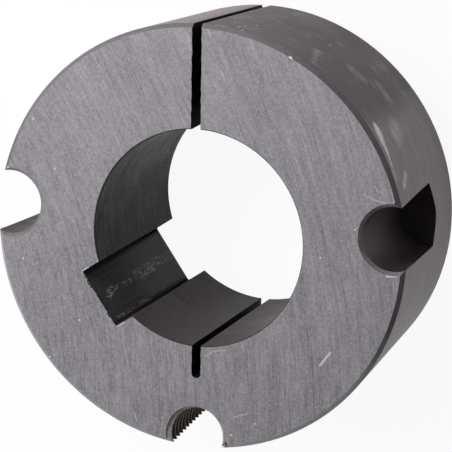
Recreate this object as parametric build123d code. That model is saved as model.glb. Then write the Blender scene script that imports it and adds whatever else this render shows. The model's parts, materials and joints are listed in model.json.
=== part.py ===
from build123d import *
import math
import os

# Taper bush: one ring of grey cast iron that clamps a hub to a keyed shaft. It is turned
# to a taper outside, bored straight and broached for a key. Half holes for its screws are
# drilled into the large end along the taper, one of them tapped, and a slit through the
# wall lets it close on the shaft.
# Millimetres. Z is the bore's axis: the small end lies on Z = 0 and the large end is up.
# Angles are in degrees about Z, counterclockwise from +X as seen from above.

# Turned body: the diameter is the taper's at the large end's face, before the chamfer
length = 50.8
large_end_diameter = 107.95
taper_included_angle = 8.0
large_end_chamfer = 1.0
small_end_chamfer = 1.0
bore_diameter = 55.0
bore_edge_break = 0.25

# Keyway along the whole bore
keyway_angle = 90.0
keyway_width = 16.0
keyway_depth = 4.3
keyway_corner_radius = 0.4

# Half holes on one circle: the tapped one takes the jacking screw, the plain pair the
# setting screws that draw the bush into its hub
pitch_circle_diameter = 101.6
keyway_to_jack_hole_angle = 55.25
jack_to_setting_hole_angle = 95.1

# Plain setting half holes
setting_hole_diameter = 16.2
setting_hole_depth = 29.6
setting_hole_countersink = 0.85
drill_point_angle = 135.0

# Tapped jacking half hole: 5/8 inch Whitworth coarse
inch = 25.4
thread_diameter = 5 / 8 * inch
threads_per_inch = 11
thread_flank_angle = 55.0
thread_depth = 30.0
thread_start_angle = -64.0
tap_lead_turns = 2.0
tap_drill_diameter = 13.5
tap_drill_depth = 34.0
jack_hole_countersink = 1.0

# Slit through the wall opposite the jacking hole, sawn a little to one side of its radius
slit_width = 2.3
slit_side_offset = 0.78

# Saw cut behind the jacking hole that weakens the wall and ends in a round bottom
relief_cut_width = 2.2
relief_cut_reach = 35.8

# How far the cutting tools run past the metal
overrun = 2.0

large_end_radius = large_end_diameter / 2
bore_radius = bore_diameter / 2
pitch_radius = pitch_circle_diameter / 2
jack_hole_angle = keyway_angle + keyway_to_jack_hole_angle
slit_angle = jack_hole_angle + 180.0
setting_hole_angles = [
    jack_hole_angle - jack_to_setting_hole_angle,
    jack_hole_angle + jack_to_setting_hole_angle,
]
taper = math.tan(math.radians(taper_included_angle / 2))


def taper_radius(height):
    """Radius of the outside taper at a height above the small end."""
    return large_end_radius - (length - height) * taper


def turned_body():
    """The plain ring: tapered outside, bored straight, with its edges chamfered."""
    foot = taper_radius(small_end_chamfer)
    rim = taper_radius(length - large_end_chamfer)
    section = Polyline(
        (bore_radius + bore_edge_break, 0),
        (foot - small_end_chamfer, 0),
        (foot, small_end_chamfer),
        (rim, length - large_end_chamfer),
        (rim - large_end_chamfer, length),
        (bore_radius + bore_edge_break, length),
        (bore_radius, length - bore_edge_break),
        (bore_radius, bore_edge_break),
        close=True,
    )
    return revolve(Plane.XZ * make_face(section), Axis.Z)


def through_cut(outline, angle):
    """An outline drawn with its radius along +X, turned to its angle and cut end to end."""
    cutter = extrude(outline, length + 2 * overrun)
    return Rot(0, 0, angle) * Pos(0, 0, -overrun) * cutter


def keyway():
    """The broached keyway, with small radii in the corners of its floor."""
    floor_radius = bore_radius + keyway_depth
    outline = Pos(floor_radius / 2, 0) * Rectangle(floor_radius, keyway_width)
    floor_corners = outline.vertices().group_by(Axis.X)[-1]
    outline = fillet(floor_corners, keyway_corner_radius)
    return through_cut(outline, keyway_angle)


def slit():
    """The slit from the bore out through the taper."""
    reach = large_end_radius + overrun
    outline = Pos(reach / 2, slit_side_offset) * Rectangle(reach, slit_width)
    return through_cut(outline, slit_angle)


def relief_cut():
    """The saw cut from the bore towards the jacking hole, round at its bottom."""
    end_radius = relief_cut_width / 2
    centre = relief_cut_reach - end_radius
    outline = Pos(centre / 2, 0) * Rectangle(centre, relief_cut_width)
    outline += Pos(centre, 0) * Circle(end_radius)
    return through_cut(outline, jack_hole_angle)


def drilled_hole(diameter, depth, countersink):
    """What a drill and a 45 degree countersink take out, down from its mouth at Z = 0."""
    radius = diameter / 2
    point_length = radius / math.tan(math.radians(drill_point_angle / 2))
    section = Polyline(
        (0, overrun),
        (radius + countersink + overrun, overrun),
        (radius, -countersink),
        (radius, -depth),
        (0, -depth - point_length),
        close=True,
    )
    return revolve(Plane.XZ * make_face(section), Axis.Z)


def thread_grooves():
    """The helical grooves that the tap cuts outside its drilled hole, mouth at Z = 0."""
    pitch = inch / threads_per_inch
    root_flat = pitch / 6
    major_radius = thread_diameter / 2
    drill_radius = tap_drill_diameter / 2
    inner_radius = drill_radius - root_flat
    flank_slope = math.tan(math.radians(thread_flank_angle / 2))
    inner_width = root_flat + 2 * (major_radius - inner_radius) * flank_slope

    top = overrun
    bottom = -thread_depth - pitch
    path = Helix(pitch, top - bottom, inner_radius, center=(0, 0, bottom))
    tooth = Plane.XZ * make_face(
        Polyline(
            (inner_radius, bottom - inner_width / 2),
            (major_radius, bottom - root_flat / 2),
            (major_radius, bottom + root_flat / 2),
            (inner_radius, bottom + inner_width / 2),
            close=True,
        )
    )
    ridge = sweep(tooth, path=path, is_frenet=True)

    lead = tap_lead_turns * pitch
    tap = Polyline(
        (0, top),
        (major_radius + root_flat, top),
        (major_radius + root_flat, -thread_depth + lead),
        (major_radius, -thread_depth + lead),
        (drill_radius, -thread_depth),
        (0, -thread_depth),
        close=True,
    )
    tapped = revolve(Plane.XZ * make_face(tap), Axis.Z)
    return Rot(0, 0, thread_start_angle) * (ridge & tapped)


def at_large_end(cutter, angle):
    """Stand a hole's cutter on the pitch circle at the large end's face."""
    return Rot(0, 0, angle) * Pos(pitch_radius, 0, length) * cutter


def bush():
    """The finished bush."""
    setting_hole = drilled_hole(setting_hole_diameter, setting_hole_depth, setting_hole_countersink)
    jack_hole = drilled_hole(tap_drill_diameter, tap_drill_depth, jack_hole_countersink)
    body = turned_body() - keyway() - slit() - relief_cut()
    for angle in setting_hole_angles:
        body -= at_large_end(setting_hole, angle)
    body -= at_large_end(jack_hole, jack_hole_angle)
    body -= at_large_end(thread_grooves(), jack_hole_angle)
    return body


os.makedirs("parts", exist_ok=True)
export_step(bush(), "parts/bush.step")
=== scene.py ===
import json
import math

import bmesh
import bpy
from mathutils import Matrix, Vector, noise


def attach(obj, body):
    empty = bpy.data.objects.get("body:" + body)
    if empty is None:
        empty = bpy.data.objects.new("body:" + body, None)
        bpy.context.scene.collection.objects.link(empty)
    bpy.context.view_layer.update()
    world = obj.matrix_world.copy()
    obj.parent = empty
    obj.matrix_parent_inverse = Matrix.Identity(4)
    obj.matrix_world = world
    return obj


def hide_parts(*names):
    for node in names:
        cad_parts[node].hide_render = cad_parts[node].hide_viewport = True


# Looks of the taper bush: its one body again, with the small edge radii, wavy saw cuts, torn
# keyway edge and chipped horns of the real one, and a finish for each way it was machined.
# Lengths are millimetres and angles are degrees about the bore's axis, counterclockwise from
# +X as seen from the large end. The mesh is scaled to metres when it is done.

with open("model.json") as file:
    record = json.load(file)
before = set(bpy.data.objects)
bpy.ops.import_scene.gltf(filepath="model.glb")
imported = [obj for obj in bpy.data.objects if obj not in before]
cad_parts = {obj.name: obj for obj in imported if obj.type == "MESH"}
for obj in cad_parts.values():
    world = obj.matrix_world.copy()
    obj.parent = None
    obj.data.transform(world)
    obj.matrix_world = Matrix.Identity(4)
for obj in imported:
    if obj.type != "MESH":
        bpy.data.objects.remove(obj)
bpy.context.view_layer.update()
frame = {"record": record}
MM = 0.001

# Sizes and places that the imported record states
mounts = {mount["name"]: mount for mount in frame["record"]["mounts"]}


def mount_place(name):
    """A mount's place in millimetres."""
    return Vector(mounts[name]["pos_m"]) / MM


length = mounts["bore"]["dims"]["length_mm"]
bore_radius = mounts["bore"]["dims"]["r_mm"]
keyway_floor = mount_place("keyway_floor").y
setting_holes = [mount_place("setting_hole_a"), mount_place("setting_hole_b")]
jack_hole = mount_place("jack_hole")
jack_angle = math.degrees(math.atan2(jack_hole.y, jack_hole.x))

# The other sizes of the same solid
large_end_radius = 53.975
taper_half_angle = 4.0
end_chamfer = 1.0
bore_edge_break = 0.25
keyway_width = 16.0
keyway_corner_radius = 0.4
setting_hole_radius = 8.1
setting_hole_depth = 29.6
setting_hole_countersink = 0.85
drill_point_angle = 135.0
thread_radius = 25.4 * 5 / 16
thread_pitch = 25.4 / 11
thread_flank_angle = 55.0
thread_root_radius = 0.3
thread_depth = 30.0
thread_start_angle = -64.0
tap_lead_turns = 2.0
tap_drill_radius = 6.75
tap_drill_depth = 34.0
jack_hole_countersink = 1.0
slit_width = 2.3
slit_side_offset = 0.78
relief_cut_width = 2.2
relief_cut_reach = 35.8
overrun = 3.0

# How finely curves are divided
body_segments = 384
hole_segments = 96
rows_per_pitch = 14
kerf_step = 0.4
keyway_step = 0.2
arc_step = 15


def taper_radius(height):
    """Radius of the outside taper at a height above the small end."""
    return large_end_radius - (length - height) * math.tan(math.radians(taper_half_angle))


# Meshes


def mesh_object(name, shape):
    """An object for a finished bmesh, with its normals outwards."""
    bmesh.ops.recalc_face_normals(shape, faces=shape.faces)
    mesh = bpy.data.meshes.new(name)
    shape.to_mesh(mesh)
    shape.free()
    thing = bpy.data.objects.new(name, mesh)
    bpy.context.scene.collection.objects.link(thing)
    return thing


def skin(name, rings, wrapped=False, bands=()):
    """A closed mesh over rings that have equally many points.

    Wrapped rings join the last to the first, and others are capped. bands gives the material
    index of each stretch between two rings.
    """
    shape = bmesh.new()
    rows = [[shape.verts.new(point) for point in ring] for ring in rings]
    following = rows[1:] + rows[:1] if wrapped else rows[1:]
    for index, (near, far) in enumerate(zip(rows, following)):
        for i in range(len(near)):
            j = (i + 1) % len(near)
            face = shape.faces.new((near[i], near[j], far[j], far[i]))
            if bands:
                face.material_index = bands[index]
    if not wrapped:
        shape.faces.new(rows[0])
        shape.faces.new(rows[-1])
    return mesh_object(name, shape)


def polar(radius, angle, height):
    """A point at a radius and an angle about the bore's axis."""
    turn = math.radians(angle)
    return Vector((radius * math.cos(turn), radius * math.sin(turn), height))


def circle(radius, height, segments, centre=(0.0, 0.0)):
    """A ring of points round an upright axis."""
    ring = []
    for i in range(segments):
        turn = math.tau * i / segments
        x = centre[0] + radius * math.cos(turn)
        y = centre[1] + radius * math.sin(turn)
        ring.append(Vector((x, y, height)))
    return ring


def turned_body(materials):
    """The plain ring, one material to each stretch of its section."""
    foot = taper_radius(end_chamfer)
    rim = taper_radius(length - end_chamfer)
    section = [
        (bore_radius + bore_edge_break, 0.0, "small_end"),
        (foot - end_chamfer, 0.0, "rim_chamfer"),
        (foot, end_chamfer, "taper"),
        (rim, length - end_chamfer, "rim_chamfer"),
        (rim - end_chamfer, length, "large_end"),
        (bore_radius + bore_edge_break, length, "bore"),
        (bore_radius, length - bore_edge_break, "bore"),
        (bore_radius, bore_edge_break, "bore"),
    ]
    rings = [circle(radius, height, body_segments) for radius, height, _ in section]
    names = list(dict.fromkeys(name for _, _, name in section))
    bands = [names.index(name) for _, _, name in section]
    body = skin("bush_body", rings, wrapped=True, bands=bands)
    for name in names:
        body.data.materials.append(materials[name])
    return body


def wobble(along, depth, seed, wavelength, reach):
    """A smooth deviation from -1 to 1 along a sawn edge, which fades below the large end."""
    drawn_out = 6
    fade = math.exp(-max(depth, 0.0) / reach)
    place = Vector((along / wavelength, depth / wavelength / drawn_out, seed))
    return fade * noise.noise(place)


def kerf_levels():
    """Heights at which a saw cut's outline is drawn, close together by the large end."""
    depths = [-overrun, 0.0, 0.12, 0.4, 1.0, 2.0, 4.0, 8.0, 16.0, 30.0]
    return [length - depth for depth in depths] + [0.12, 0.0, -overrun]


def edge_flare(height):
    """How much wider a cut is at a height, where its edges with the flat ends are broken."""
    break_width = 0.1
    below_top = min(max(height - (length - break_width), 0.0), break_width)
    above_foot = min(max(break_width - height, 0.0), break_width)
    return below_top + above_foot


def kerf(name, inner, outer, width, side, angle, seed, round_end):
    """A saw cut's cutter, with the slight waves that the saw left at the large end."""
    wave_height = 0.16
    wave_length = 1.7
    fade_depth = 6.0
    steps = int((outer - inner) / kerf_step)
    rings = []
    for height in kerf_levels():
        depth = length - height
        half = width / 2 + edge_flare(height)
        ring = []
        for hand in (1, -1):
            edge = []
            for i in range(steps + 1):
                along = inner + (outer - inner) * i / steps
                wave = wave_height * wobble(along, depth, seed + hand, wave_length, fade_depth)
                edge.append(Vector((along, side + hand * half + wave, height)))
            ring += edge if hand == 1 else edge[::-1]
            if hand == 1 and round_end:
                for degrees in range(90 - arc_step, -90, -arc_step):
                    turn = math.radians(degrees)
                    x = outer + half * math.cos(turn)
                    y = side + half * math.sin(turn)
                    ring.append(Vector((x, y, height)))
        rings.append(ring)
    cutter = skin(name, rings)
    cutter.data.transform(Matrix.Rotation(math.radians(angle), 4, "Z"))
    return cutter


def tear(across, depth):
    """How far the keyway's floor is torn at a place across it and a depth below the face.

    It is torn most at two places, less and less as far as each one's reach.
    """
    tear_depth = 0.6
    tear_length = 0.55
    tear_fade = 0.8
    most_torn = [(4.0, 2.8), (-4.5, 1.6)]
    most, least = 1.7, 0.4
    finer, finer_share = 2.6, 0.6
    lift = 0.25
    rough = noise.noise(Vector((across / tear_length, 0.0, 3.7)))
    rough += finer_share * noise.noise(Vector((across / tear_length * finer, 0.0, 8.1)))
    torn = tear_depth * max(rough + lift, 0.0) * max(1.0 - depth / tear_fade, 0.0)
    shares = [most * (1 - abs(across - place) / reach) for place, reach in most_torn]
    return torn * max(least, *shares)


def keyway_cutter():
    """The keyway's cutter, with its corners as its second finish, which is painted shade.

    Its floor is torn where the broach came out of the large end.
    """
    # How far the painted shade in the keyway's corners reaches
    corner_shade_reach = 0.7
    depths = [-overrun, 0.0, 0.1, 0.25, 0.45, 0.8, 1.4, 4.0]
    heights = [length - depth for depth in depths] + [8.0, 0.1, 0.0, -overrun]
    half = keyway_width / 2
    flat = half - keyway_corner_radius
    inner = bore_radius - 4 * overrun
    steps = int(2 * flat / keyway_step)

    def corner(hand, first, height):
        """A quarter circle in one of the floor's corners, clockwise from its first angle."""
        radius = keyway_corner_radius + edge_flare(height)
        points = []
        for degrees in range(first, first - 90 - arc_step, -arc_step):
            turn = math.radians(degrees)
            x = hand * flat + radius * math.cos(turn)
            y = keyway_floor - keyway_corner_radius + radius * math.sin(turn)
            points.append(Vector((x, y, height)))
        return points

    rings = []
    for height in heights:
        flare = edge_flare(height)
        ring = [
            Vector((-half - flare, inner, height)),
            Vector((-half - flare, keyway_floor - corner_shade_reach, height)),
        ]
        ring += corner(-1, 180, height)
        for i in range(1, steps):
            x = -flat + 2 * flat * i / steps
            torn = tear(x, max(length - height, 0.0))
            torn *= min(1.0, (flat - x) / 2.0, (x + flat) / 2.0)
            ring.append(Vector((x, keyway_floor + flare + torn, height)))
        ring += corner(1, 90, height)
        ring.append(Vector((half + flare, keyway_floor - corner_shade_reach, height)))
        ring.append(Vector((half + flare, inner, height)))
        rings.append(ring)
    cutter = skin("keyway_cutter", rings)
    # Faces in the corners take the second finish, painted shade
    for face in cutter.data.polygons:
        x, y, _ = face.center
        in_corner = abs(x) > half - corner_shade_reach and y > keyway_floor - corner_shade_reach
        face.material_index = int(in_corner)
    return cutter


def hole_cutter(name, centre, radius, depth, countersink):
    """A drill's cutter with its point, and the countersink as its second finish."""
    point = radius / math.tan(math.radians(drill_point_angle / 2))
    point_blunt = 0.02
    section = [
        (radius + countersink + overrun, overrun),
        (radius + countersink, 0.0),
        (radius, -countersink),
        (radius, -depth),
        (point_blunt, -depth - point),
    ]
    rings = [circle(r, length + z, hole_segments, centre) for r, z in section]
    return skin(name, rings, bands=(1, 1, 0, 0))


def thread_cutter():
    """The tap's cutter: rows of points that follow the helix, closed by fans at both ends.

    What it cuts in the countersink is its second finish.
    """
    below_drilling = 0.35
    second_finish_reach = 1.4 * jack_hole_countersink
    slope = math.tan(math.radians(thread_flank_angle / 2))
    core = tap_drill_radius - below_drilling
    lead = tap_lead_turns * thread_pitch
    groove_start = -thread_depth - thread_pitch
    first = groove_start - thread_pitch / 2
    pitches = math.ceil((overrun - first) / thread_pitch)
    rows = pitches * rows_per_pitch
    start = math.radians(jack_angle + thread_start_angle)

    def point(row, column):
        """Where the row's point lies, on the groove or on the tap's lead."""
        phase = (row / rows_per_pitch) % 1.0
        off = abs(phase - 0.5) * thread_pitch
        rounded = math.hypot(off, thread_root_radius) - thread_root_radius
        height = first + thread_pitch * (row / rows_per_pitch + column / hole_segments)
        climb = height + thread_depth
        cone = tap_drill_radius + (thread_radius - tap_drill_radius) * climb / lead
        radius = max(core, min(thread_radius - rounded / slope, cone))
        turn = start + math.tau * column / hole_segments
        return Vector((
            jack_hole.x + radius * math.cos(turn),
            jack_hole.y + radius * math.sin(turn),
            length + height,
        ))

    shape = bmesh.new()
    columns = range(hole_segments)
    grid = [[shape.verts.new(point(row, column)) for column in columns] for row in range(rows + 1)]
    seam = [shape.verts.new(point(row, 0)) for row in range(rows + 1, rows + rows_per_pitch + 1)]

    def vertex(row, column):
        """The grid's vertex, where one turn's end is the next one's start."""
        if column == hole_segments:
            row, column = row + rows_per_pitch, 0
        return grid[row][column] if row <= rows else seam[row - rows - 1]

    for row in range(rows):
        for column in columns:
            corners = [vertex(row, column), vertex(row, column + 1)]
            corners += [vertex(row + 1, column + 1), vertex(row + 1, column)]
            shape.faces.new(corners)
    for row in (0, rows):
        loop = [vertex(row, column) for column in range(hole_segments + 1)]
        loop += [vertex(row + k, 0) for k in range(rows_per_pitch - 1, 0, -1)]
        middle = sum((v.co for v in loop), Vector()) / len(loop)
        hub = shape.verts.new((jack_hole.x, jack_hole.y, middle.z))
        for near, far in zip(loop, loop[1:] + loop[:1]):
            shape.faces.new((near, far, hub))
    cutter = mesh_object("thread_cutter", shape)
    for face in cutter.data.polygons:
        face.material_index = int(face.center.z > length - second_finish_reach)
    return cutter


def horn(centre, mouth_radius, hand):
    """The sharp corner where a half hole's mouth runs out through the large end's rim."""
    rim = large_end_radius - end_chamfer
    reach = math.hypot(centre.x, centre.y)
    cosine = (reach ** 2 + rim ** 2 - mouth_radius ** 2) / (2 * reach * rim)
    turn = math.atan2(centre.y, centre.x) + hand * math.acos(cosine)
    return Vector((rim * math.cos(turn), rim * math.sin(turn), length))


def chip_cutter(name, centre, radii, seed):
    """A rough lump that takes a chip out of an edge. Its first radius points out from the bore."""
    roughness = 0.35
    coarseness = 1.9
    shape = bmesh.new()
    bmesh.ops.create_icosphere(shape, subdivisions=3, radius=1.0)
    for vertex in shape.verts:
        rough = 1 + roughness * noise.noise(vertex.co * coarseness + Vector((seed, 0, 0)))
        vertex.co = Vector([c * r * rough for c, r in zip(vertex.co, radii)])
    turned = Matrix.Rotation(math.atan2(centre.y, centre.x), 4, "Z")
    bmesh.ops.transform(shape, matrix=Matrix.Translation(centre) @ turned, verts=shape.verts)
    return mesh_object(name, shape)


def cut(body, cutter, *finishes):
    """Take the cutter out of the body, and give what it leaves the cutter's finishes."""
    for finish in finishes:
        cutter.data.materials.append(finish)
    modifier = body.modifiers.new("cut", "BOOLEAN")
    modifier.operation = "DIFFERENCE"
    modifier.solver = "EXACT"
    modifier.material_mode = "TRANSFER"
    modifier.object = cutter
    graph = bpy.context.evaluated_depsgraph_get()
    mesh = bpy.data.meshes.new_from_object(body.evaluated_get(graph))
    body.modifiers.clear()
    body.data = mesh
    bpy.data.objects.remove(cutter)


def close_gaps(body, gap):
    """Join points that cuts or rounding left within a gap of each other."""
    shape = bmesh.new()
    shape.from_mesh(body.data)
    bmesh.ops.remove_doubles(shape, verts=shape.verts, dist=gap)
    bmesh.ops.dissolve_degenerate(shape, dist=gap, edges=shape.edges)
    shape.to_mesh(body.data)
    shape.free()


def round_edges(body, plain_finishes):
    """Round every sharp edge a little, apart from those of the plain finishes."""
    edge_radius = 0.08
    sharp_angle = math.radians(30)
    skipped = [i for i, material in enumerate(body.data.materials) if material in plain_finishes]
    shape = bmesh.new()
    shape.from_mesh(body.data)
    edges = []
    for edge in shape.edges:
        beside = [face.material_index for face in edge.link_faces]
        if edge.calc_face_angle(0.0) > sharp_angle and not set(beside) & set(skipped):
            edges.append(edge)
    bmesh.ops.bevel(
        shape,
        geom=edges,
        offset=edge_radius,
        offset_type="OFFSET",
        segments=2,
        profile=0.5,
        affect="EDGES",
        clamp_overlap=False,
        loop_slide=False,
        material=-1,
    )
    shape.to_mesh(body.data)
    shape.free()


def shade(body):
    """Shade curves smooth and edges sharp, and scale the mesh to metres."""
    sharp_angle = math.radians(47)
    shape = bmesh.new()
    shape.from_mesh(body.data)
    for face in shape.faces:
        face.smooth = True
    for edge in shape.edges:
        edge.smooth = edge.calc_face_angle(0.0) < sharp_angle
    bmesh.ops.scale(shape, vec=(MM, MM, MM), verts=shape.verts)
    shape.to_mesh(body.data)
    shape.free()
    large_faces_lead = body.modifiers.new("large_faces_lead", "WEIGHTED_NORMAL")
    large_faces_lead.keep_sharp = True
    large_faces_lead.weight = 100


def chip_edges(body, chipped, dented):
    """The knocks that this bush has had: on three horns and once on its rim."""
    setting_mouth = setting_hole_radius + setting_hole_countersink
    jack_mouth = tap_drill_radius + jack_hole_countersink
    rim_dent = polar(large_end_radius - end_chamfer, -61.0, length)
    chips = [
        (horn(jack_hole, jack_mouth, 1), (1.0, 1.15, 2.0), chipped),
        (horn(setting_holes[1], setting_mouth, 1), (0.4, 0.5, 0.4), chipped),
        (horn(setting_holes[0], setting_mouth, -1), (0.3, 0.45, 0.3), dented),
        (rim_dent, (0.3, 0.6, 0.25), dented),
    ]
    for index, (centre, radii, finish) in enumerate(chips):
        cut(body, chip_cutter(f"chip_{index}", centre, radii, 4.1 + index), finish)


def bush(materials):
    """The bush's body, machined as the real one is."""
    body = turned_body(materials)
    cut(body, keyway_cutter(), materials["keyway"], materials["keyway_corners"])
    inner = bore_radius - 2 * overrun
    slit = kerf("slit_cutter", inner, large_end_radius + overrun, slit_width,
                slit_side_offset, jack_angle + 180, seed=2.3, round_end=False)
    relief = kerf("relief_cutter", inner, relief_cut_reach - relief_cut_width / 2,
                  relief_cut_width, 0.0, jack_angle, seed=7.9, round_end=True)
    cut(body, slit, materials["sawn"])
    cut(body, relief, materials["sawn"])
    for index, centre in enumerate(setting_holes):
        cutter = hole_cutter(f"setting_{index}", centre, setting_hole_radius, setting_hole_depth,
                             setting_hole_countersink)
        cut(body, cutter, materials["drilled"], materials["countersunk"])
    tap_drill = hole_cutter("tap_drill", jack_hole, tap_drill_radius, tap_drill_depth,
                            jack_hole_countersink)
    cut(body, tap_drill, materials["tapped"], materials["bright_countersink"])
    cut(body, thread_cutter(), materials["tapped"], materials["bright_countersink"])
    chip_edges(body, materials["chipped"], materials["dented"])
    close_gaps(body, 0.004)
    left_sharp = ["tapped", "bright_countersink", "chipped", "dented"]
    round_edges(body, [materials[name] for name in left_sharp])
    close_gaps(body, 0.0005)
    shade(body)
    return body


# Finishes: the phosphate coat turns what the iron reflects a little towards purple
gloss_tint = (1.0, 0.88, 0.97)


class Finish:
    """A material in the making, with short ways to add its nodes. Places are millimetres."""

    def __init__(self, name, gloss):
        self.material = bpy.data.materials.new(name)
        self.material.use_nodes = True
        self.tree = self.material.node_tree
        self.shader = self.tree.nodes["Principled BSDF"]
        self.shader.inputs["Specular IOR Level"].default_value = gloss
        self.shader.inputs["Specular Tint"].default_value = (*gloss_tint, 1.0)
        place = self.node("ShaderNodeTexCoord").outputs["Object"]
        self.place = self.vector("MULTIPLY", place, (1 / MM, 1 / MM, 1 / MM))

    def node(self, kind, **settings):
        """A new node with its settings."""
        node = self.tree.nodes.new(kind)
        for name, value in settings.items():
            setattr(node, name, value)
        return node

    def put(self, socket, value):
        """Link an output to the socket, or set the socket to a plain value."""
        if isinstance(value, bpy.types.NodeSocket):
            self.tree.links.new(value, socket)
        else:
            socket.default_value = value

    def math(self, operation, *values, clamped=False):
        """The result of a sum on numbers."""
        node = self.node("ShaderNodeMath", operation=operation, use_clamp=clamped)
        for socket, value in zip(node.inputs, values):
            self.put(socket, value)
        return node.outputs[0]

    def vector(self, operation, *values):
        """The result of a sum on vectors, which is a number for a length or a distance."""
        node = self.node("ShaderNodeVectorMath", operation=operation)
        for socket, value in zip(node.inputs, values):
            self.put(socket, value)
        number = operation in ("LENGTH", "DISTANCE", "DOT_PRODUCT")
        return node.outputs["Value" if number else "Vector"]

    def scaled(self, vector, factor):
        """A vector or colour times a number."""
        node = self.node("ShaderNodeVectorMath", operation="SCALE")
        self.put(node.inputs["Vector"], vector)
        self.put(node.inputs["Scale"], factor)
        return node.outputs["Vector"]

    def parts(self, vector):
        """The three numbers of a vector."""
        node = self.node("ShaderNodeSeparateXYZ")
        self.put(node.inputs[0], vector)
        return node.outputs

    def join(self, *numbers):
        """A vector of three numbers."""
        node = self.node("ShaderNodeCombineXYZ")
        for socket, value in zip(node.inputs, numbers):
            self.put(socket, value)
        return node.outputs[0]

    def step(self, value, low, high):
        """0 at low, 1 at high and smooth between, whichever of the two is greater."""
        node = self.node("ShaderNodeMapRange", interpolation_type="SMOOTHSTEP")
        self.put(node.inputs["Value"], value)
        node.inputs["From Min"].default_value = low
        node.inputs["From Max"].default_value = high
        return node.outputs["Result"]

    def noise(self, place, detail=2.0):
        """Smooth noise about 0 over a place whose features are about 1 across."""
        node = self.node("ShaderNodeTexNoise")
        self.put(node.inputs["Vector"], place)
        node.inputs["Scale"].default_value = 1.0
        node.inputs["Detail"].default_value = detail
        return self.math("MULTIPLY_ADD", node.outputs["Fac"], 2.0, -1.0)

    def drawn(self, size, offset=0.0, detail=2.0):
        """Noise whose features measure size in x, y and z."""
        factors = [1 / side for side in size]
        place = self.vector("MULTIPLY", self.place, factors)
        if offset:
            place = self.vector("ADD", place, (offset, offset, offset))
        return self.noise(place, detail)

    def total(self, start, *layers):
        """A number plus each layer times its weight."""
        value = start
        for weight, layer in layers:
            value = self.math("MULTIPLY_ADD", layer, weight, value)
        return value

    def over(self, under, colour, share):
        """A plain colour laid over another one where share is 1."""
        node = self.node("ShaderNodeMix", data_type="RGBA")
        self.put(node.inputs[0], share)
        self.put(node.inputs[6], under)
        self.put(node.inputs[7], (*colour, 1.0))
        return node.outputs[2]

    def dots(self, places, radius):
        """1 on small dots at places, 0 elsewhere."""
        share = 0.0
        for place in places:
            away = self.vector("DISTANCE", self.place, place)
            share = self.math("MAXIMUM", share, self.step(away, radius, 0.4 * radius))
        return share

    def strokes(self, paths, width, core=0.4):
        """1 along the core of paths of straight stretches, 0 outside their width."""
        share = 0.0
        for path in paths:
            for start, end in zip(path, path[1:]):
                run = Vector(end) - Vector(start)
                off = self.vector("SUBTRACT", self.place, start)
                along = self.vector("DOT_PRODUCT", off, run / run.length_squared)
                along = self.math("ADD", along, 0.0, clamped=True)
                away = self.vector("DISTANCE", off, self.scaled(run, along))
                stroke = self.step(away, 0.5 * width, 0.5 * width * core)
                share = self.math("MAXIMUM", share, stroke)
        return share

    def specks(self, across, along, spacing, radius, share):
        """Small dots in a share of the cells of a random pattern over a surface."""
        cells = self.node("ShaderNodeTexVoronoi", voronoi_dimensions="2D")
        self.put(cells.inputs["Vector"], self.join(across, along, 0.0))
        cells.inputs["Scale"].default_value = 1 / spacing
        size = radius / spacing
        dot = self.step(cells.outputs["Distance"], size, 0.4 * size)
        chosen = self.math("LESS_THAN", self.parts(cells.outputs["Color"])[0], share)
        return self.math("MULTIPLY", dot, chosen)

    def round_place(self, centre):
        """Distance from an upright axis, and the angle about it."""
        off = self.vector("SUBTRACT", self.place, (centre[0], centre[1], 0.0))
        flat = self.vector("MULTIPLY", off, (1.0, 1.0, 0.0))
        x, y, _ = self.parts(off)
        return self.vector("LENGTH", flat), self.math("ARCTAN2", y, x)

    def facing(self, angle):
        """How far a place lies towards an angle about the bush's axis, from -1 to 1."""
        outwards = self.vector("MULTIPLY", self.place, (1.0, 1.0, 0.0))
        outwards = self.vector("NORMALIZE", outwards)
        return self.vector("DOT_PRODUCT", outwards, polar(1.0, angle, 0.0))

    def done(self, colour, roughness, height, depth):
        """Link the colour, the roughness and a height that is worth depth in millimetres."""
        bump = self.node("ShaderNodeBump")
        bump.inputs["Distance"].default_value = depth * MM
        self.put(bump.inputs["Height"], height)
        self.put(self.shader.inputs["Base Color"], colour)
        self.put(self.shader.inputs["Roughness"], roughness)
        self.put(self.shader.inputs["Normal"], bump.outputs["Normal"])
        return self.material


iron_grey = (0.198, 0.192, 0.206)
# Bare iron's colour, also used as a painted highlight on the chamfers
bare_iron_and_highlight = (0.62, 0.60, 0.60)
dust = (0.42, 0.41, 0.43)
handled = (0.42, 0.385, 0.395)
# Painted shade laid over one side of the taper
taper_painted_shade = (0.050, 0.034, 0.044)
# Painted highlight for the lighter sides of the chamfers
chamfer_painted_highlight = (0.34, 0.31, 0.32)
rubbed = (0.90, 0.87, 0.88)
rust = (0.16, 0.085, 0.06)


def on_face(points):
    """Points of the large end's face."""
    return [(x, y, length) for x, y in points]


def on_taper(points):
    """Points of the taper, each given by its angle and its height."""
    return [polar(taper_radius(height), angle, height) for angle, height in points]


def on_keyway_floor(points):
    """Points of the keyway's floor, each given by its x and its height."""
    return [(x, keyway_floor, height) for x, height in points]


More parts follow.
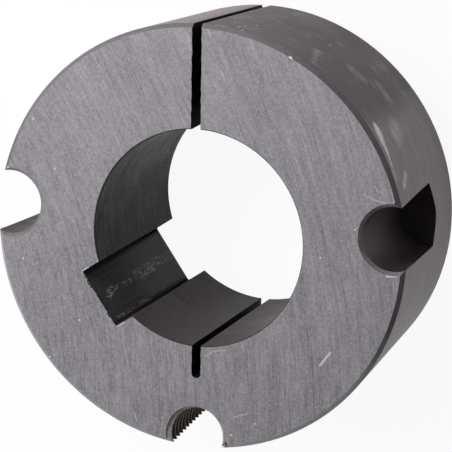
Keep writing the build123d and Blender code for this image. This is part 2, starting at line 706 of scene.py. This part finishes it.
def ground(name, centre, dots, marks):
    """An end from the surface grinder: long fine arcs about a centre beside the bush."""
    iron = Finish(name, 0.5)
    reach, turn = iron.round_place(centre)
    along = iron.math("MULTIPLY", turn, math.hypot(*centre))

    def arcs(width, run, seed):
        """Noise drawn out along the grinding arcs."""
        return iron.noise(iron.join(
            iron.math("DIVIDE", reach, width),
            iron.math("DIVIDE", along, run),
            seed,
        ))

    fine = arcs(0.42, 7.0, 1.0)
    bands = arcs(1.5, 30.0, 2.0)
    wide = arcs(7.0, 120.0, 3.0)
    grain = iron.drawn((0.5, 0.5, 0.5))
    cloud = iron.drawn((9.0, 9.0, 9.0), 5.0)
    tone = iron.total(1.0, (0.5, fine), (0.3, bands), (0.18, wide), (0.6, grain), (0.1, cloud))
    colour = iron.scaled(iron_grey, tone)
    x, y, _ = iron.parts(iron.place)
    specks = iron.specks(x, y, 9.0, 0.24, 0.5)
    colour = iron.over(colour, dust, iron.math("MULTIPLY", specks, 0.6))
    if dots:
        bright = iron.math("MULTIPLY", iron.dots(dots, 0.32), 0.85)
        colour = iron.over(colour, bare_iron_and_highlight, bright)
    for width, share, mark_colour, paths in marks:
        mark = iron.math("MULTIPLY", iron.strokes(paths, width), share)
        colour = iron.over(colour, mark_colour, mark)
    rough = iron.total(0.46, (0.10, fine), (0.08, bands), (0.06, grain))
    height = iron.total(0.0, (1.0, fine), (0.6, bands), (0.5, grain))
    return iron.done(colour, rough, height, 0.006)


def turned(name, grey, dots, marks):
    """The taper: fine rings from the tool, clouded by handling, and darker on one side with
    painted shade.
    """
    iron = Finish(name, 0.14)
    painted_shade_angle = -61.0
    rings = iron.drawn((14.0, 14.0, 0.45))
    strips = iron.drawn((9.0, 9.0, 2.2), 3.0)
    grain = iron.drawn((0.6, 0.6, 0.6), 1.0)
    cloud = iron.drawn((12.0, 12.0, 12.0), 5.0)
    tone = iron.total(1.0, (0.15, rings), (0.45, strips), (0.6, grain), (0.5, cloud))
    colour = iron.scaled(grey, tone)
    # Painted shade: the side of the taper about this angle is darkened for the shade that falls
    # there
    side = iron.total(0.0, (1.0, iron.facing(painted_shade_angle)), (0.02, cloud))
    dark = iron.step(side, 0.85, 0.92)
    colour = iron.over(colour, taper_painted_shade, iron.math("MULTIPLY", dark, 0.9))
    smears = iron.step(iron.drawn((5.0, 5.0, 3.0), 9.0, 4.0), 0.0, 0.7)
    colour = iron.over(colour, handled, iron.math("MULTIPLY", smears, 0.35))
    _, turn = iron.round_place((0.0, 0.0))
    _, _, z = iron.parts(iron.place)
    specks = iron.specks(iron.math("MULTIPLY", turn, large_end_radius), z, 7.0, 0.2, 0.5)
    colour = iron.over(colour, handled, specks)
    colour = iron.over(colour, bare_iron_and_highlight, iron.dots(dots, 0.42))
    patchy = iron.step(iron.drawn((1.5, 1.5, 1.0), 11.0, 3.0), -0.7, 0.3)
    for width, share, paths in marks:
        mark = iron.math("MULTIPLY", iron.strokes(paths, width, 0.0), share)
        colour = iron.over(colour, rubbed, iron.math("MULTIPLY", mark, patchy))
    rough = iron.total(0.45, (0.05, rings), (0.08, strips), (0.08, cloud), (0.06, grain))
    height = iron.total(0.0, (0.6, rings), (0.5, grain))
    return iron.done(colour, rough, height, 0.006)


def chamfered(name, grey, painted_highlights):
    """The outer chamfers, made lighter on some sides by painted highlights."""
    iron = Finish(name, 0.3)
    rings = iron.drawn((10.0, 10.0, 0.2))
    grain = iron.drawn((0.6, 0.6, 0.6), 1.0)
    cloud = iron.drawn((5.0, 5.0, 5.0), 5.0)
    tone = iron.total(1.0, (0.2, rings), (0.4, grain), (0.2, cloud))
    colour = iron.scaled(grey, tone)
    # Each entry paints a highlight on one side of the chamfers
    for angle, low, high, mark_colour, share in painted_highlights:
        side = iron.total(0.0, (1.0, iron.facing(angle)), (0.05, cloud))
        highlight_share = iron.math("MULTIPLY", iron.step(side, low, high), share)
        colour = iron.over(colour, mark_colour, highlight_share)
    rough = iron.total(0.45, (0.10, rings), (0.06, grain))
    height = iron.total(0.0, (1.0, rings), (0.4, grain))
    return iron.done(colour, rough, height, 0.01)


def cut_rings(name, grey, gloss, ring_width, depth):
    """A bored, drilled or chamfered surface: rings from the tool about an upright axis."""
    iron = Finish(name, gloss)
    rings = iron.drawn((10.0, 10.0, ring_width))
    grain = iron.drawn((0.6, 0.6, 0.6), 1.0)
    cloud = iron.drawn((7.0, 7.0, 11.0), 5.0)
    tone = iron.total(1.0, (0.35, rings), (0.6, grain), (0.25, cloud))
    colour = iron.scaled(grey, tone)
    rough = iron.total(0.45, (0.2, rings), (0.15, grain), (0.1, cloud))
    height = iron.total(0.0, (1.0, rings), (0.4, grain))
    return iron.done(colour, rough, height, depth)


def broached(name, grey, lanes, edge_lines):
    """The keyway: lines along it from the broach, with scuffs from keys slid in and out."""
    iron = Finish(name, 0.05)
    lines = iron.drawn((0.35, 0.35, 30.0))
    grain = iron.drawn((0.5, 0.5, 0.5), 1.0)
    cloud = iron.drawn((4.0, 4.0, 14.0), 5.0)
    tone = iron.total(1.0, (0.5, lines), (0.8, grain), (0.3, cloud))
    colour = iron.scaled(grey, tone)
    x, _, z = iron.parts(iron.place)
    lane = 0.0
    for width, path in lanes:
        lane = iron.math("MAXIMUM", lane, iron.strokes([path], width))
    streaks = iron.step(iron.drawn((0.42, 0.42, 2.0), 7.0, 3.0), -0.1, 0.25)
    patches = iron.step(iron.drawn((1.6, 1.6, 3.0), 2.0), -0.4, 0.1)
    scuffs = iron.math("MULTIPLY", iron.math("MULTIPLY", streaks, patches), lane)
    breaks = iron.step(iron.drawn((0.5, 0.5, 2.2), 4.0), -0.15, 0.3)
    edge_lines = iron.math("MULTIPLY", iron.strokes(edge_lines, 0.4), breaks)
    scuffs = iron.math("MAXIMUM", scuffs, iron.math("MULTIPLY", edge_lines, 0.6))
    colour = iron.over(colour, rubbed, scuffs)
    half = keyway_width / 2
    by_corner = iron.step(iron.math("ABSOLUTE", x), half - 1.8, half - 0.6)
    polished = iron.step(iron.total(0.0, (1.0, z), (10.0, cloud)), 42.0, 4.0)
    rough = iron.total(0.55, (0.2, lines), (0.2, grain), (0.3, by_corner), (-0.25, polished))
    height = iron.total(0.0, (1.0, lines), (0.6, grain))
    return iron.done(colour, rough, height, 0.03)


def corner_painted_shade(name, grey):
    """Painted shade in the keyway's corners: a darker grey without gloss."""
    iron = Finish(name, 0.0)
    grain = iron.drawn((0.5, 0.5, 1.5), 1.0)
    colour = iron.scaled(grey, iron.total(1.0, (0.6, grain)))
    return iron.done(colour, iron.total(0.7, (0.1, grain)), grain, 0.02)


def sawn(name, grey):
    """A saw cut's walls: coarse upright ribs that the saw left."""
    iron = Finish(name, 0.05)
    ribs = iron.drawn((0.5, 0.5, 25.0))
    grain = iron.drawn((0.4, 0.4, 0.4), 1.0)
    colour = iron.scaled(grey, iron.total(1.0, (0.4, ribs), (0.3, grain)))
    rough = iron.total(0.6, (0.1, ribs))
    return iron.done(colour, rough, iron.total(0.0, (1.0, ribs), (0.5, grain)), 0.05)


def broken(name, grey, rusted):
    """Breaks in the cast iron: coarse grain, with a share of it touched with rust."""
    iron = Finish(name, 0.3)
    grain = iron.drawn((0.25, 0.25, 0.25), 1.0, 4.0)
    colour = iron.scaled(grey, iron.total(1.0, (0.6, grain)))
    patches = iron.step(iron.drawn((0.7, 0.7, 0.7), 3.0), -0.1, 0.5)
    colour = iron.over(colour, rust, iron.math("MULTIPLY", patches, rusted))
    return iron.done(colour, iron.total(0.6, (0.2, grain)), grain, 0.06)


# Marks that this bush has picked up, where the photo shows them. Each group of strokes has
# its width, how fully it covers, its metal where that varies, and its paths.
face_dots = on_face([
    (47.0, 21.2), (33.6, 23.4), (18.8, 44.2), (-46.2, 20.4), (-46.8, 13.1),
    (-18.2, -37.1), (-19.7, -25.5), (-1.9, 39.7), (-5.9, 52.3),
])
face_scratches = [
    on_face([(42.3, -31.7), (40.3, -31.5)]),
    on_face([(31.9, -29.0), (29.7, -28.6)]),
    on_face([(-42.7, 17.1), (-43.7, 13.3)]),
    on_face([(-28.8, 40.2), (-31.3, 40.8)]),
    on_face([(-11.8, -47.5), (-13.3, -47.5)]),
    on_face([(-12.0, -44.0), (-14.3, -45.4), (-16.3, -47.4)]),
    on_face([(-25.8, 15.1), (-26.1, 14.2), (-25.9, 12.5), (-27.3, 9.4)]),
]
face_bars = [
    on_face([(-42.4, -10.3), (-41.0, -14.4)]),
    on_face([(-32.0, -37.9), (-32.9, -39.7)]),
]
keyway_burrs = [
    on_face([(-8.2, 31.6), (-8.2, 29.4)]),
    on_face([(8.2, 31.6), (8.2, 29.8)]),
]
face_marks = [
    (0.42, 0.6, dust, face_scratches),
    (0.8, 0.65, bare_iron_and_highlight, face_bars),
    (0.42, 0.7, bare_iron_and_highlight, keyway_burrs),
]
taper_dots = on_taper([
    (-39.9, 28.5), (-40.5, 40.5), (-43.5, 46.1), (-43.5, 44.8), (-45.8, 49.5), (-45.8, 48.3),
    (-44.0, 42.6), (-35.5, 16.4), (-37.5, 33.1), (-45.6, 37.5), (-62.8, 23.9),
])
taper_marks = [
    (3.4, 1.6, [on_taper([(-89.4, 44.6), (-90.6, 45.0)])]),
    (5.2, 1.7, [on_taper([(-90.6, 45.0), (-93.2, 45.9)])]),
    (3.6, 1.2, [on_taper([(-93.2, 45.9), (-96.2, 46.5)])]),
    (2.0, 1.0, [on_taper([(-96.2, 46.5), (-100.0, 47.6)])]),
    (1.6, 0.6, [on_taper([(-100.0, 47.6), (-104.0, 48.2)])]),
    (3.4, 0.7, [on_taper([(-104.4, 39.3), (-106.8, 43.3)])]),
    (9.0, 0.4, [on_taper([(-92.5, 31.0), (-94.5, 34.3)])]),
    (6.0, 0.22, [
        on_taper([(-72.5, 29.2), (-76.1, 28.8)]),
        on_taper([(-80.1, 22.1), (-84.5, 23.1)]),
    ]),
    (3.0, 0.16, [on_taper([(-62.8, 34.9), (-64.5, 40.2), (-66.2, 47.0)])]),
    (0.7, 0.7, [
        on_taper([(-143.1, 46.8), (-145.4, 49.4)]),
        on_taper([(-38.5, 49.5), (-40.9, 48.7)]),
    ]),
]

keyway_lanes = [
    (3.4, on_keyway_floor([(-0.4, 46.0), (0.8, 42.0)])),
    (1.8, on_keyway_floor([(0.3, 42.0), (0.0, 30.0)])),
    (5.0, on_keyway_floor([(0.3, 25.0), (0.0, 14.0)])),
    (4.2, on_keyway_floor([(0.1, 14.0), (0.8, 0.0)])),
]
keyway_edge_lines = [
    on_keyway_floor([(-6.2, 48.0), (-6.3, 14.0)]),
    on_keyway_floor([(-6.75, 49.5), (-6.8, 24.0)]),
]

# Painted highlights on the outer chamfers, on the sides that catch the light: the side's angle,
# between which two cosines to that angle the highlight fades in, its colour and its share
chamfer_painted_highlights = [
    (127.0, 0.15, 0.45, chamfer_painted_highlight, 0.9),
    (172.0, 0.7, 0.95, bare_iron_and_highlight, 0.4),
    (-20.0, 0.45, 0.85, chamfer_painted_highlight, 0.22),
]

# Where the grinding wheel's middle passed, going by the curve of its marks in the photo
grinding_centre = (59.0, 165.0)
back_grinding_centre = (-130.0, 90.0)

materials = {
    "large_end": ground("ground_iron", grinding_centre, face_dots, face_marks),
    "small_end": ground("ground_iron_back", back_grinding_centre, [], []),
    "rim_chamfer": chamfered("chamfered_iron", (0.10, 0.093, 0.10), chamfer_painted_highlights),
    "taper": turned("turned_iron", (0.238, 0.200, 0.216), taper_dots, taper_marks),
    "bore": cut_rings("bored_iron", (0.058, 0.046, 0.048), 0.06, 0.35, 0.03),
    "keyway": broached("broached_iron", (0.075, 0.068, 0.071), keyway_lanes, keyway_edge_lines),
    # Painted shade in the keyway's corners
    "keyway_corners": corner_painted_shade("painted_corner_shade", (0.07, 0.063, 0.063)),
    # The saw cuts' grey is nearly black: painted shade for the shadow inside the cuts
    "sawn": sawn("sawn_iron_painted_shade", (0.012, 0.011, 0.011)),
    "drilled": cut_rings("drilled_iron", (0.048, 0.038, 0.043), 0.16, 0.5, 0.02),
    "countersunk": cut_rings("countersunk_iron", (0.15, 0.141, 0.147), 0.4, 0.2, 0.01),
    "bright_countersink": cut_rings("bright_iron", (0.32, 0.30, 0.31), 0.4, 0.2, 0.01),
    "tapped": cut_rings("tapped_iron", (0.19, 0.155, 0.14), 0.06, 0.3, 0.01),
    "chipped": broken("broken_iron", (0.10, 0.075, 0.068), 0.6),
    "dented": broken("dented_iron", (0.65, 0.62, 0.60), 0.0),
}
body = bush(materials)
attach(body, "root")
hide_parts("bush")

# Floor: white paper, which shows white to the camera and in reflections and keeps a soft shadow
floor_half = 2.0
floor_gap = 0.05
paper_white = 0.8
shown_white = 0.93


def floor_material():
    """Diffuse paper, mostly replaced by plain white for what looks at it."""
    material = bpy.data.materials.new("floor_white")
    material.use_nodes = True
    tree = material.node_tree
    tree.nodes.clear()
    paper = tree.nodes.new("ShaderNodeBsdfDiffuse")
    paper.inputs["Color"].default_value = (paper_white, paper_white, paper_white, 1)
    white = tree.nodes.new("ShaderNodeEmission")
    path = tree.nodes.new("ShaderNodeLightPath")
    seen = path.outputs["Is Camera Ray"]
    for kind in ("Is Glossy Ray", "Is Transmission Ray"):
        either = tree.nodes.new("ShaderNodeMath")
        either.operation = "MAXIMUM"
        tree.links.new(seen, either.inputs[0])
        tree.links.new(path.outputs[kind], either.inputs[1])
        seen = either.outputs[0]
    share = tree.nodes.new("ShaderNodeMath")
    share.operation = "MULTIPLY"
    share.inputs[1].default_value = shown_white
    tree.links.new(seen, share.inputs[0])
    blend = tree.nodes.new("ShaderNodeMixShader")
    tree.links.new(share.outputs[0], blend.inputs[0])
    tree.links.new(paper.outputs[0], blend.inputs[1])
    tree.links.new(white.outputs[0], blend.inputs[2])
    output = tree.nodes.new("ShaderNodeOutputMaterial")
    tree.links.new(blend.outputs[0], output.inputs["Surface"])
    return material


bpy.ops.mesh.primitive_plane_add(size=2 * floor_half, location=(0, 0, -floor_gap * MM))
floor = bpy.context.object
floor.name = "floor"
floor.data.materials.append(floor_material())

# Camera, fitted to the photo
camera_place = Vector((-0.96, -380.73, 878.08))
camera_aim = Vector((1.05, -8.33, 50.8))
camera_roll = 121.26
lens = 293.09
shift = (0.0101, -0.0157)

camera = bpy.data.cameras.new("camera")
camera.lens = lens
camera.sensor_width = 36.0
camera.shift_x, camera.shift_y = shift
camera.clip_start = 0.01
camera.clip_end = 20.0
eye = bpy.data.objects.new("camera", camera)
bpy.context.scene.collection.objects.link(eye)
look = (camera_aim - camera_place).to_track_quat("-Z", "Y").to_matrix().to_4x4()
roll = Matrix.Rotation(math.radians(-camera_roll), 4, "Z")
eye.matrix_world = Matrix.Translation(camera_place * MM) @ look @ roll
bpy.context.scene.camera = eye

# Light: soft lamps, mostly from one side, in a dim room. A lamp has its name, angle,
# elevation, distance in metres and brightness, which is 1 where it alone lights a white
# surface that faces it to white.
lamp_spread = 0.6
lamp_aim = Vector((0.0, 0.0, 0.04))
lamps = [
    ("main", 2.0, 48.0, 0.37, 0.84),
    ("overhead", 40.0, 68.0, 0.6, 0.40),
    ("low", 80.0, 20.0, 0.6, 0.22),
]
room_light = 0.1

for name, angle, elevation, lamp_distance, brightness in lamps:
    lamp = bpy.data.lights.new(name, "AREA")
    lamp.shape = "DISK"
    lamp.size = lamp_spread * lamp_distance
    lamp.energy = brightness * math.pi ** 2 * lamp_distance ** 2
    light = bpy.data.objects.new(name, lamp)
    rise = math.radians(elevation)
    towards = polar(math.cos(rise), angle, math.sin(rise))
    light.location = lamp_aim + lamp_distance * towards
    light.rotation_euler = towards.to_track_quat("Z", "Y").to_euler()
    bpy.context.scene.collection.objects.link(light)

world = bpy.data.worlds.new("world")
bpy.context.scene.world = world
world.use_nodes = True
background = world.node_tree.nodes["Background"]
background.inputs["Color"].default_value = (1, 1, 1, 1)
background.inputs["Strength"].default_value = room_light
bpy.context.scene.view_settings.view_transform = "Standard"
